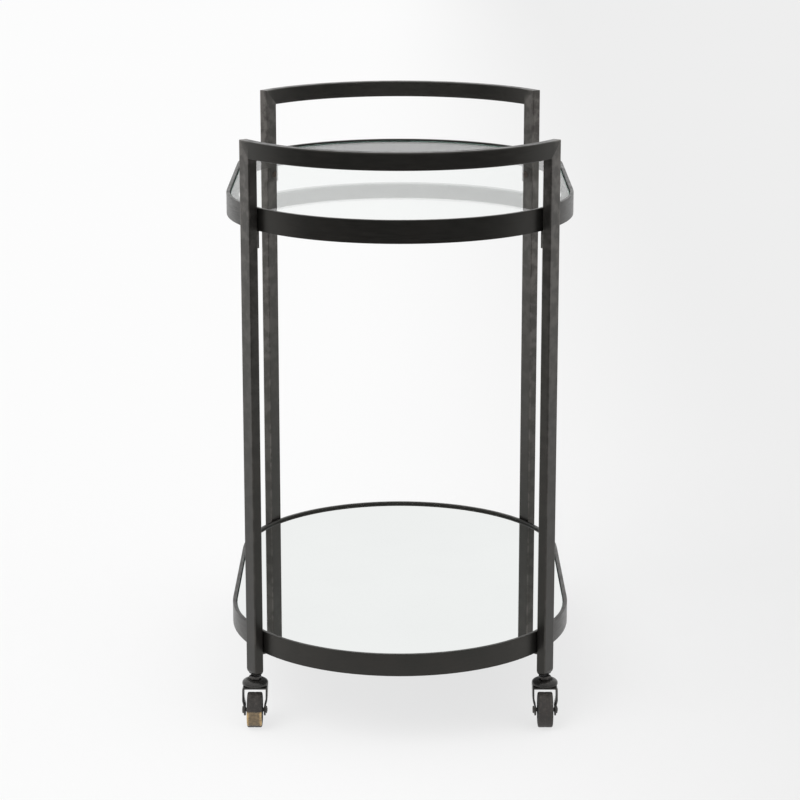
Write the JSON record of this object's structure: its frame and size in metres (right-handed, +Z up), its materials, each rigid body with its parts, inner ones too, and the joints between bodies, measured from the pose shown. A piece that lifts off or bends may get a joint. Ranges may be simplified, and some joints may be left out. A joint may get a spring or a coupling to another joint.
{
  "type": "bar cart",
  "caption": "Two-tier oval bar cart: black tube posts and bowed end handles, clear glass upper shelf, mirrored lower shelf, swivel castors.",
  "frame": {"origin": "on the floor, under the centre of the two oval shelves", "axes": "+Z up, Y along the cart's long axis with a handle at each end, X across the cart"},
  "size_m": [0.492, 0.7566, 0.838],
  "materials": {
    "black_metal": "satin black, lightly brushed",
    "castor_steel": "black zinc",
    "bolt_steel": "dark bronze",
    "clear_glass": "clear tempered",
    "mirror_glass": "polished mirror",
    "black_plastic": "moulded",
    "tread_rubber": "matt rubber"
  },
  "bodies": {
    "root": {"upper_ring": "black_metal", "lower_ring": "black_metal", "upper_glass_ledge": "black_metal", "lower_mirror_ledge": "black_metal", "upper_glass": "clear_glass", "lower_mirror": "mirror_glass", "handle_front": "black_metal", "handle_rear": "black_metal", "post_front_left": "black_metal", "ring_ear_front_left": "black_metal", "ear_bolt_front_left": "bolt_steel", "ring_tab_front_left": "black_metal", "tab_bolt_front_left": "bolt_steel", "foot_plug_front_left": "black_plastic", "castor_stem_front_left": "castor_steel", "castor_cup_front_left": "castor_steel", "post_front_right": "black_metal", "ring_ear_front_right": "black_metal", "ear_bolt_front_right": "bolt_steel", "ring_tab_front_right": "black_metal", "tab_bolt_front_right": "bolt_steel", "foot_plug_front_right": "black_plastic", "castor_stem_front_right": "castor_steel", "castor_cup_front_right": "castor_steel", "post_rear_left": "black_metal", "ring_ear_rear_left": "black_metal", "ear_bolt_rear_left": "bolt_steel", "ring_tab_rear_left": "black_metal", "tab_bolt_rear_left": "bolt_steel", "foot_plug_rear_left": "black_plastic", "castor_stem_rear_left": "castor_steel", "castor_cup_rear_left": "castor_steel", "post_rear_right": "black_metal", "ring_ear_rear_right": "black_metal", "ear_bolt_rear_right": "bolt_steel", "ring_tab_rear_right": "black_metal", "tab_bolt_rear_right": "bolt_steel", "foot_plug_rear_right": "black_plastic", "castor_stem_rear_right": "castor_steel", "castor_cup_rear_right": "castor_steel"},
    "swivel_front_left": {"castor_fork_front_left": "castor_steel", "castor_axle_front_left": "castor_steel"},
    "wheel_front_left": {"castor_hub_front_left": "black_plastic", "castor_tread_front_left": "tread_rubber"},
    "swivel_front_right": {"castor_fork_front_right": "castor_steel", "castor_axle_front_right": "castor_steel"},
    "wheel_front_right": {"castor_hub_front_right": "black_plastic", "castor_tread_front_right": "tread_rubber"},
    "swivel_rear_left": {"castor_fork_rear_left": "castor_steel", "castor_axle_rear_left": "castor_steel"},
    "wheel_rear_left": {"castor_hub_rear_left": "black_plastic", "castor_tread_rear_left": "tread_rubber"},
    "swivel_rear_right": {"castor_fork_rear_right": "castor_steel", "castor_axle_rear_right": "castor_steel"},
    "wheel_rear_right": {"castor_hub_rear_right": "black_plastic", "castor_tread_rear_right": "tread_rubber"}
  },
  "joints": [
    {"name": "castor_swivel_front_left", "type": "hinge", "parent": "root", "child": "swivel_front_left", "pos_m": [-0.20622, -0.26509, 0.056], "axis": [0, 0, 1], "continuous": true},
    {"name": "wheel_spin_front_left", "type": "hinge", "parent": "swivel_front_left", "child": "wheel_front_left", "pos_m": [-0.20622, -0.28209, 0.025], "axis": [1, 0, 0], "continuous": true},
    {"name": "castor_swivel_front_right", "type": "hinge", "parent": "root", "child": "swivel_front_right", "pos_m": [0.20622, -0.26509, 0.056], "axis": [0, 0, 1], "continuous": true},
    {"name": "wheel_spin_front_right", "type": "hinge", "parent": "swivel_front_right", "child": "wheel_front_right", "pos_m": [0.20622, -0.28209, 0.025], "axis": [1, 0, 0], "continuous": true},
    {"name": "castor_swivel_rear_left", "type": "hinge", "parent": "root", "child": "swivel_rear_left", "pos_m": [-0.20622, 0.26509, 0.056], "axis": [0, 0, 1], "continuous": true},
    {"name": "wheel_spin_rear_left", "type": "hinge", "parent": "swivel_rear_left", "child": "wheel_rear_left", "pos_m": [-0.20622, 0.24809, 0.025], "axis": [1, 0, 0], "continuous": true},
    {"name": "castor_swivel_rear_right", "type": "hinge", "parent": "root", "child": "swivel_rear_right", "pos_m": [0.20622, 0.26509, 0.056], "axis": [0, 0, 1], "continuous": true},
    {"name": "wheel_spin_rear_right", "type": "hinge", "parent": "swivel_rear_right", "child": "wheel_rear_right", "pos_m": [0.20622, 0.24809, 0.025], "axis": [1, 0, 0], "continuous": true}
  ]
}
